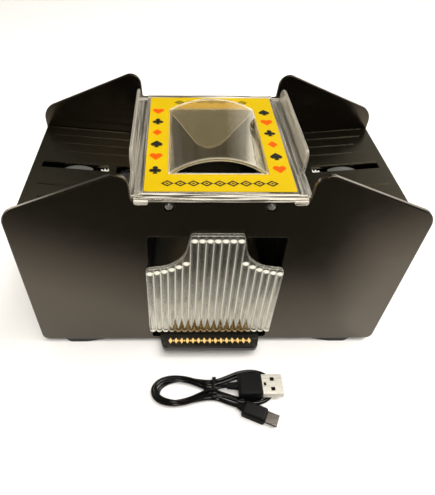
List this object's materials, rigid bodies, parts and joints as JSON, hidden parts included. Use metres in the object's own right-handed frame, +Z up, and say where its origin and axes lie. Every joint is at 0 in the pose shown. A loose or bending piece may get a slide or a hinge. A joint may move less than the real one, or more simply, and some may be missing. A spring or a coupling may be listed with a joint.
{
  "type": "automatic card shuffler",
  "caption": "Battery-driven card shuffler: two side feed trays with gear-driven tyres, clear domed cover, clear fluted card tray, press bar and charging lead.",
  "frame": {"origin": "middle of the machine footprint, at the surface that it stands on; the loose charging lead is not counted", "axes": "+X to the right seen from the front, +Y to the back, +Z up"},
  "size_m": [0.2006, 0.1551, 0.1247],
  "materials": {
    "satin_black": "satin moulded ABS",
    "tray_black": "fine matt moulded ABS",
    "inner_black": "matt moulded ABS",
    "bar_black": "gloss",
    "clear": "polished clear polystyrene",
    "label": "gloss printed film",
    "foot_rubber": "matt",
    "tyre_rubber": "ground rubber",
    "screw_steel": "bright zinc",
    "shaft_steel": "ground",
    "bush_brass": "sintered",
    "white_acetal": "moulded acetal",
    "grey_acetal": "moulded acetal",
    "black_acetal": "moulded acetal",
    "motor_can": "zinc plated",
    "board_green": "solder mask",
    "cell_blue": "heat-shrink sleeve",
    "pad_foam": "foam tape",
    "ink_black": "screen printed",
    "ink_red": "screen printed",
    "ink_gold": "hot foil",
    "wire_red": "wire insulation",
    "cord_black": "soft PVC",
    "plug_black": "soft PVC overmould",
    "plug_metal": "nickel plated",
    "socket_metal": "stamped steel"
  },
  "bodies": {
    "root": {"front_panel": "satin_black", "back_panel": "satin_black", "base_plate": "inner_black", "left_end_wall": "satin_black", "right_end_wall": "satin_black", "rubber_feet": "foot_rubber", "case_screws": "screw_steel", "left_feed_tray": "tray_black", "right_feed_tray": "tray_black", "left_well_wall": "inner_black", "right_well_wall": "inner_black", "well_collar": "inner_black", "well_floor": "inner_black", "left_gear_plate": "inner_black", "right_gear_plate": "inner_black", "left_gear_cover": "grey_acetal", "right_gear_cover": "grey_acetal", "gear_pins": "shaft_steel", "shaft_bushes": "bush_brass", "left_motor": "motor_can", "right_motor": "motor_can", "motor_screws": "screw_steel", "circuit_board": "board_green", "usb_inlet": "socket_metal", "battery_pack": "cell_blue", "battery_pad": "pad_foam", "motor_leads": "wire_red", "battery_leads": "wire_red", "press_bar_pin": "inner_black", "press_bar_spring": "shaft_steel", "press_switch": "inner_black", "lead_tie": "cord_black", "lead_hank": "cord_black", "usb_a_plug": "plug_black", "usb_a_shell": "plug_metal", "small_plug": "plug_black", "small_shell": "plug_metal"},
    "left_feed_roller": {"left_feed_shaft": "shaft_steel", "left_feed_tyre": "tyre_rubber", "left_feed_gear": "black_acetal"},
    "left_idler": {"left_idler_gear": "white_acetal"},
    "left_drive": {"left_drive_gear": "grey_acetal"},
    "left_compound": {"left_compound_gear": "white_acetal"},
    "left_rotor": {"left_motor_shaft": "shaft_steel", "left_motor_pinion": "bush_brass"},
    "right_feed_roller": {"right_feed_shaft": "shaft_steel", "right_feed_tyre": "tyre_rubber", "right_feed_gear": "black_acetal"},
    "right_idler": {"right_idler_gear": "white_acetal"},
    "right_drive": {"right_drive_gear": "grey_acetal"},
    "right_compound": {"right_compound_gear": "white_acetal"},
    "right_rotor": {"right_motor_shaft": "shaft_steel", "right_motor_pinion": "bush_brass"},
    "cover": {"clear_cover": "clear", "cover_dome": "clear", "top_label": "label"},
    "drawer": {"card_tray": "clear"},
    "press_lever": {"press_bar": "bar_black"},
    "plunger": {"switch_plunger": "white_acetal"}
  },
  "joints": [
    {"name": "left_feed_roller_spin", "type": "hinge", "parent": "root", "child": "left_feed_roller", "pos_m": [-0.0475, 0.0122, 0.08051], "axis": [0, 1, 0], "continuous": true},
    {"name": "left_idler_spin", "type": "hinge", "parent": "root", "child": "left_idler", "pos_m": [-0.05977, 0.0122, 0.07971], "axis": [0, 1, 0], "continuous": true},
    {"name": "left_drive_spin", "type": "hinge", "parent": "root", "child": "left_drive", "pos_m": [-0.07535, 0.0122, 0.07891], "axis": [0, 1, 0], "continuous": true},
    {"name": "left_compound_spin", "type": "hinge", "parent": "root", "child": "left_compound", "pos_m": [-0.08003, 0.0122, 0.06721], "axis": [0, 1, 0], "continuous": true},
    {"name": "left_rotor_spin", "type": "hinge", "parent": "root", "child": "left_rotor", "pos_m": [-0.0761, 0.0122, 0.05461], "axis": [0, 1, 0], "continuous": true},
    {"name": "right_feed_roller_spin", "type": "hinge", "parent": "root", "child": "right_feed_roller", "pos_m": [0.0475, 0.0122, 0.08051], "axis": [0, -1, 0], "continuous": true},
    {"name": "right_idler_spin", "type": "hinge", "parent": "root", "child": "right_idler", "pos_m": [0.05977, 0.0122, 0.07971], "axis": [0, -1, 0], "continuous": true},
    {"name": "right_drive_spin", "type": "hinge", "parent": "root", "child": "right_drive", "pos_m": [0.07535, 0.0122, 0.07891], "axis": [0, -1, 0], "continuous": true},
    {"name": "right_compound_spin", "type": "hinge", "parent": "root", "child": "right_compound", "pos_m": [0.08003, 0.0122, 0.06721], "axis": [0, -1, 0], "continuous": true},
    {"name": "right_rotor_spin", "type": "hinge", "parent": "root", "child": "right_rotor", "pos_m": [0.0761, 0.0122, 0.05461], "axis": [0, -1, 0], "continuous": true},
    {"name": "cover_lift", "type": "slide", "parent": "root", "child": "cover", "axis": [0, 0, 1], "range_m": [0, 0.06]},
    {"name": "drawer_slide", "type": "slide", "parent": "root", "child": "drawer", "axis": [0, -1, 0], "range_m": [0, 0.09]},
    {"name": "press_bar_hinge", "type": "hinge", "parent": "root", "child": "press_lever", "pos_m": [0, -0.0188, 0.0095], "axis": [1, 0, 0], "range_deg": [0, 4], "stiffness_Nm_per_rad": 0.4, "springref_deg": -5.73, "deforming": ["press_bar_spring"]},
    {"name": "plunger_slide", "type": "slide", "parent": "root", "child": "plunger", "axis": [0, 0, -1], "range_m": [0, 0.00072]}
  ],
  "couplings": [
    {"joint": "left_idler_spin", "follows": "left_feed_roller_spin", "ratio": -0.86364},
    {"joint": "left_drive_spin", "follows": "left_feed_roller_spin", "ratio": 0.63333},
    {"joint": "left_compound_spin", "follows": "left_feed_roller_spin", "ratio": -1.5833},
    {"joint": "left_rotor_spin", "follows": "left_feed_roller_spin", "ratio": 5.3833},
    {"joint": "right_idler_spin", "follows": "right_feed_roller_spin", "ratio": -0.86364},
    {"joint": "right_drive_spin", "follows": "right_feed_roller_spin", "ratio": 0.63333},
    {"joint": "right_compound_spin", "follows": "right_feed_roller_spin", "ratio": -1.5833},
    {"joint": "right_rotor_spin", "follows": "right_feed_roller_spin", "ratio": 5.3833},
    {"joint": "plunger_slide", "follows": "press_bar_hinge", "m_per_rad": 0.01}
  ]
}
